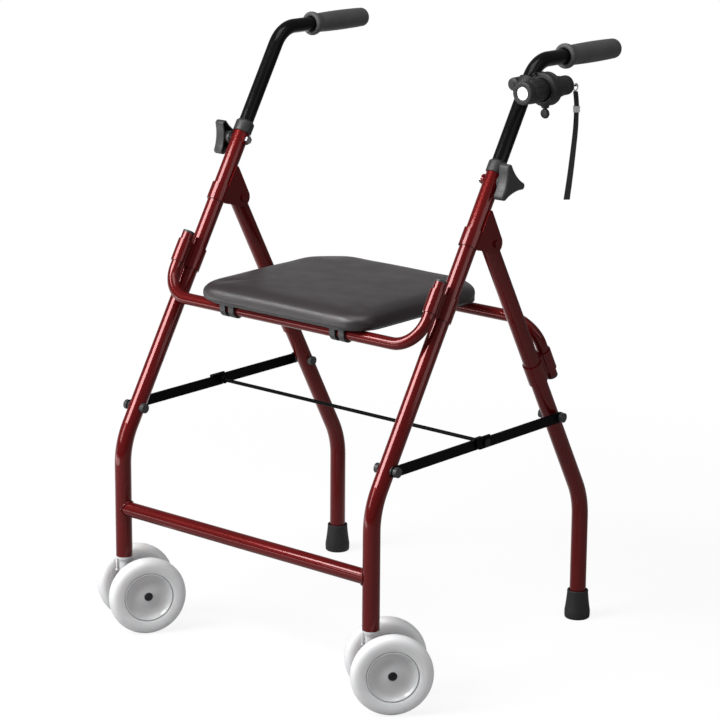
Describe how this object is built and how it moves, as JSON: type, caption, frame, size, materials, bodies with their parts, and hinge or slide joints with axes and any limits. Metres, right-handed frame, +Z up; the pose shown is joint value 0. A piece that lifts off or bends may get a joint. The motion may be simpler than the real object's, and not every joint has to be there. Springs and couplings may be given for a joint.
{
  "type": "folding walker with seat",
  "caption": "Folding walker with a padded flip-up seat, twin-wheel swivel casters in front, rubber feet behind, height-adjustable handles and a clip-on torch.",
  "frame": {"origin": "on the floor, midway between the two caster swivel axes and the two rear feet", "axes": "+Z up; +Y from the casters towards the user; +X to the user's left, the side with the torch"},
  "size_m": [0.5645, 0.5368, 0.7956],
  "materials": {
    "red_paint": "gloss metallic dark red",
    "black_paint": "gloss black",
    "dark_steel": "black finish",
    "steel": "zinc plated",
    "grey_plastic": "satin",
    "black_plastic": "satin",
    "pale_plastic": "satin",
    "pale_tyre": "smooth",
    "foot_rubber": "matte",
    "grip_rubber": "matte",
    "seat_vinyl": "grained vinyl",
    "torch_plastic": "matte",
    "torch_rubber": "matte",
    "lens": "clear",
    "strap_metal": "plated",
    "strap_tape": "woven"
  },
  "bodies": {
    "front_frame": {"front_leg_left": "red_paint", "front_leg_right": "red_paint", "front_cross_tube": "red_paint", "front_seat_tube": "red_paint", "front_seat_straps": "red_paint", "front_tube_plugs": "grey_plastic", "hinge_brackets": "red_paint", "hinge_bolts": "dark_steel", "leg_collars": "grey_plastic", "height_bolts": "steel", "front_brace_bolts": "black_plastic", "caster_sleeves": "pale_plastic"},
    "rear_frame": {"rear_leg_left": "red_paint", "rear_leg_right": "red_paint", "rear_seat_tube": "red_paint", "rear_seat_straps": "red_paint", "rear_tube_plugs": "black_plastic", "rear_feet": "foot_rubber", "rear_brace_bolts": "black_plastic"},
    "front_braces": {"front_brace_left": "black_paint", "front_brace_right": "black_paint", "brace_cross_rod": "black_paint"},
    "rear_braces": {"rear_brace_left": "black_paint", "rear_brace_right": "black_paint", "rear_brace_rivets": "dark_steel"},
    "seat": {"seat_cushion": "seat_vinyl", "seat_board": "black_plastic", "seat_rest": "black_plastic", "seat_clips": "black_plastic", "seat_screws": "steel"},
    "handle_left": {"handle_tube_left": "black_paint", "handle_grip_left": "grip_rubber", "torch_clamp": "torch_plastic"},
    "handle_right": {"handle_tube_right": "black_paint", "handle_grip_right": "grip_rubber"},
    "knob_left": {"knob_left": "black_plastic", "knob_insert_left": "steel"},
    "knob_right": {"knob_right": "black_plastic", "knob_insert_right": "steel"},
    "caster_left": {"caster_body_left": "pale_plastic", "caster_stem_left": "steel", "caster_axle_left": "dark_steel"},
    "caster_right": {"caster_body_right": "pale_plastic", "caster_stem_right": "steel", "caster_axle_right": "dark_steel"},
    "wheel_left_outer": {"wheel_left_outer": "pale_plastic", "tyre_left_outer": "pale_tyre"},
    "wheel_left_inner": {"wheel_left_inner": "pale_plastic", "tyre_left_inner": "pale_tyre"},
    "wheel_right_inner": {"wheel_right_inner": "pale_plastic", "tyre_right_inner": "pale_tyre"},
    "wheel_right_outer": {"wheel_right_outer": "pale_plastic", "tyre_right_outer": "pale_tyre"},
    "torch": {"torch_holder": "torch_plastic", "torch_body": "torch_plastic", "torch_lens": "lens", "strap_fittings": "strap_metal", "torch_strap": "strap_tape"},
    "torch_thumb_screw": {"torch_thumb_screw": "torch_plastic"},
    "torch_switch": {"torch_switch": "torch_rubber"}
  },
  "joints": [
    {"name": "fold", "type": "hinge", "parent": "front_frame", "child": "rear_frame", "pos_m": [0, 0.0046, 0.55897], "axis": [-1, 0, 0], "range_deg": [0, 32.5]},
    {"name": "front_brace_turn", "type": "hinge", "parent": "front_frame", "child": "front_braces", "pos_m": [0, -0.19075, 0.3025], "axis": [1, 0, 0], "range_deg": [0, 41.75]},
    {"name": "rear_brace_turn", "type": "hinge", "parent": "rear_frame", "child": "rear_braces", "pos_m": [0, 0.14618, 0.3025], "axis": [-1, 0, 0], "range_deg": [0, 42.43]},
    {"name": "seat_flip", "type": "hinge", "parent": "front_frame", "child": "seat", "pos_m": [0, -0.13512, 0.447], "axis": [1, 0, 0], "range_deg": [0, 100]},
    {"name": "handle_left_height", "type": "slide", "parent": "front_frame", "child": "handle_left", "axis": [0, 0.5165, 0.8563], "range_m": [0, 0.12]},
    {"name": "knob_left_turn", "type": "hinge", "parent": "front_frame", "child": "knob_left", "pos_m": [0.2425, 0.01136, 0.63754], "axis": [1, 0, 0], "continuous": true},
    {"name": "handle_right_height", "type": "slide", "parent": "front_frame", "child": "handle_right", "axis": [0, 0.5165, 0.8563], "range_m": [0, 0.12]},
    {"name": "knob_right_turn", "type": "hinge", "parent": "front_frame", "child": "knob_right", "pos_m": [-0.2425, 0.01136, 0.63754], "axis": [1, 0, 0], "continuous": true},
    {"name": "caster_left_swivel", "type": "hinge", "parent": "front_frame", "child": "caster_left", "pos_m": [0.2175, -0.2185, 0.099], "axis": [0, 0, 1], "continuous": true},
    {"name": "wheel_left_outer_roll", "type": "hinge", "parent": "caster_left", "child": "wheel_left_outer", "pos_m": [0.25732, -0.22418, 0.0525], "axis": [0.7314, -0.682, 0], "continuous": true},
    {"name": "wheel_left_inner_roll", "type": "hinge", "parent": "caster_left", "child": "wheel_left_inner", "pos_m": [0.20905, -0.17917, 0.0525], "axis": [0.7314, -0.682, 0], "continuous": true},
    {"name": "caster_right_swivel", "type": "hinge", "parent": "front_frame", "child": "caster_right", "pos_m": [-0.2175, -0.2185, 0.099], "axis": [0, 0, 1], "continuous": true},
    {"name": "wheel_right_outer_roll", "type": "hinge", "parent": "caster_right", "child": "wheel_right_outer", "pos_m": [-0.23394, -0.18179, 0.0525], "axis": [0.8572, -0.515, 0], "continuous": true},
    {"name": "wheel_right_inner_roll", "type": "hinge", "parent": "caster_right", "child": "wheel_right_inner", "pos_m": [-0.17737, -0.21578, 0.0525], "axis": [0.8572, -0.515, 0], "continuous": true},
    {"name": "torch_tilt", "type": "hinge", "parent": "handle_left", "child": "torch", "pos_m": [0.231, 0.07968, 0.7508], "axis": [1, 0, 0], "range_deg": [-20, 20]},
    {"name": "torch_thumb_screw_turn", "type": "hinge", "parent": "torch", "child": "torch_thumb_screw", "pos_m": [0.2528, 0.07118, 0.7208], "axis": [0, 0, 1], "continuous": true},
    {"name": "torch_switch_press", "type": "slide", "parent": "torch", "child": "torch_switch", "axis": [0, -1, 0], "range_m": [0, 0.0015], "stiffness_N_per_m": 600, "springref_m": -0.0004}
  ],
  "couplings": [
    {"joint": "front_brace_turn", "follows": "fold", "ratio": 1.2661},
    {"joint": "rear_brace_turn", "follows": "fold", "ratio": 1.2871}
  ]
}
